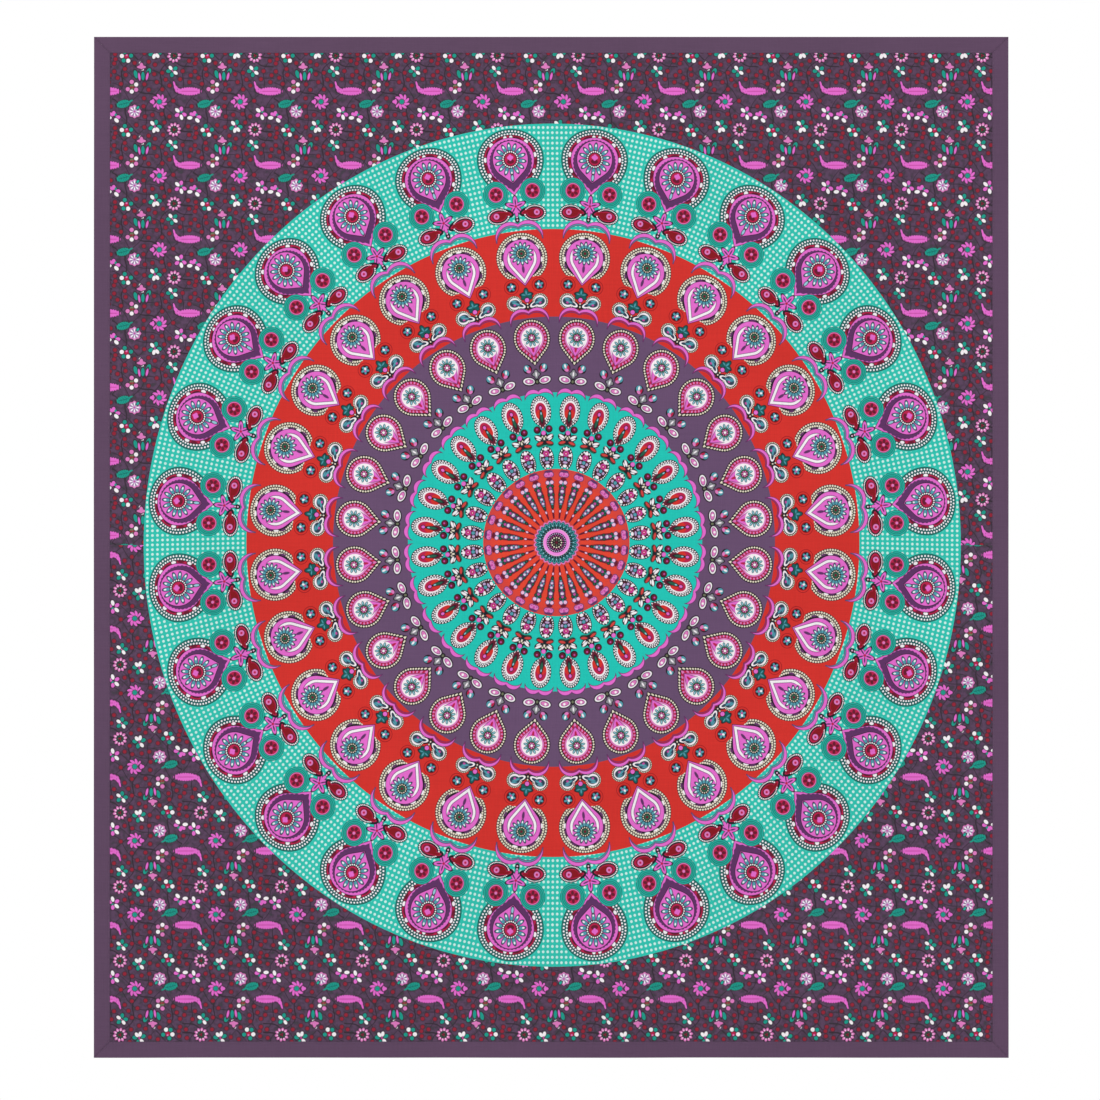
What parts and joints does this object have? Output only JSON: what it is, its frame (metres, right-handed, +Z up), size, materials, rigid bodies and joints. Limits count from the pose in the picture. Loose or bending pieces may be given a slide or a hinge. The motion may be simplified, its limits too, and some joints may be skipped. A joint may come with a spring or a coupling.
{
  "type": "tapestry wall hanging",
  "caption": "Rectangular printed cotton wall hanging with plain folded border bands, sewn seams and small cotton loops behind the top edge that hang it on a wall.",
  "frame": {"origin": "middle of the middle loop patch's back face, 14.5 mm below the top edge: the face that rests against the wall", "axes": "+Z up the wall, -Y out of the wall towards the viewer, +X to the viewer's right"},
  "size_m": [2.15, 0.0062, 2.4],
  "materials": {
    "printed_cotton": "plain-weave cotton, screen-printed mandala and flowers, matt",
    "band_cotton": "plain-weave cotton, dyed purple, matt",
    "sewing_thread": "spun sewing thread, purple, slight sheen",
    "loop_cotton": "folded and stitched plain-weave cotton strip, purple, matt"
  },
  "bodies": {
    "cloth": {"printed_panel": "printed_cotton", "top_border_band": "band_cotton", "right_border_band": "band_cotton", "bottom_border_band": "band_cotton", "left_border_band": "band_cotton", "top_needle_thread": "sewing_thread", "right_needle_thread": "sewing_thread", "bottom_needle_thread": "sewing_thread", "left_needle_thread": "sewing_thread", "top_bobbin_thread": "sewing_thread", "right_bobbin_thread": "sewing_thread", "bottom_bobbin_thread": "sewing_thread", "left_bobbin_thread": "sewing_thread", "loop_patch_1": "band_cotton", "loop_patch_2": "band_cotton", "loop_patch_3": "band_cotton", "loop_patch_4": "band_cotton", "loop_patch_5": "band_cotton", "loop_rim_thread_1": "sewing_thread", "loop_rim_thread_2": "sewing_thread", "loop_rim_thread_3": "sewing_thread", "loop_rim_thread_4": "sewing_thread", "loop_rim_thread_5": "sewing_thread", "loop_tack_thread_1": "sewing_thread", "loop_tack_thread_2": "sewing_thread", "loop_tack_thread_3": "sewing_thread", "loop_tack_thread_4": "sewing_thread", "loop_tack_thread_5": "sewing_thread"},
    "loop_1": {"hanging_loop_1": "loop_cotton"},
    "loop_2": {"hanging_loop_2": "loop_cotton"},
    "loop_3": {"hanging_loop_3": "loop_cotton"},
    "loop_4": {"hanging_loop_4": "loop_cotton"},
    "loop_5": {"hanging_loop_5": "loop_cotton"}
  },
  "joints": [
    {"name": "loop_1_fold", "type": "hinge", "parent": "cloth", "child": "loop_1", "pos_m": [-1.015, -0.0002, -0.0058], "axis": [1, 0, 0], "range_deg": [0, 180]},
    {"name": "loop_2_fold", "type": "hinge", "parent": "cloth", "child": "loop_2", "pos_m": [-0.5075, -0.0002, -0.0058], "axis": [1, 0, 0], "range_deg": [0, 180]},
    {"name": "loop_3_fold", "type": "hinge", "parent": "cloth", "child": "loop_3", "pos_m": [0, -0.0002, -0.0058], "axis": [1, 0, 0], "range_deg": [0, 180]},
    {"name": "loop_4_fold", "type": "hinge", "parent": "cloth", "child": "loop_4", "pos_m": [0.5075, -0.0002, -0.0058], "axis": [1, 0, 0], "range_deg": [0, 180]},
    {"name": "loop_5_fold", "type": "hinge", "parent": "cloth", "child": "loop_5", "pos_m": [1.015, -0.0002, -0.0058], "axis": [1, 0, 0], "range_deg": [0, 180]}
  ]
}
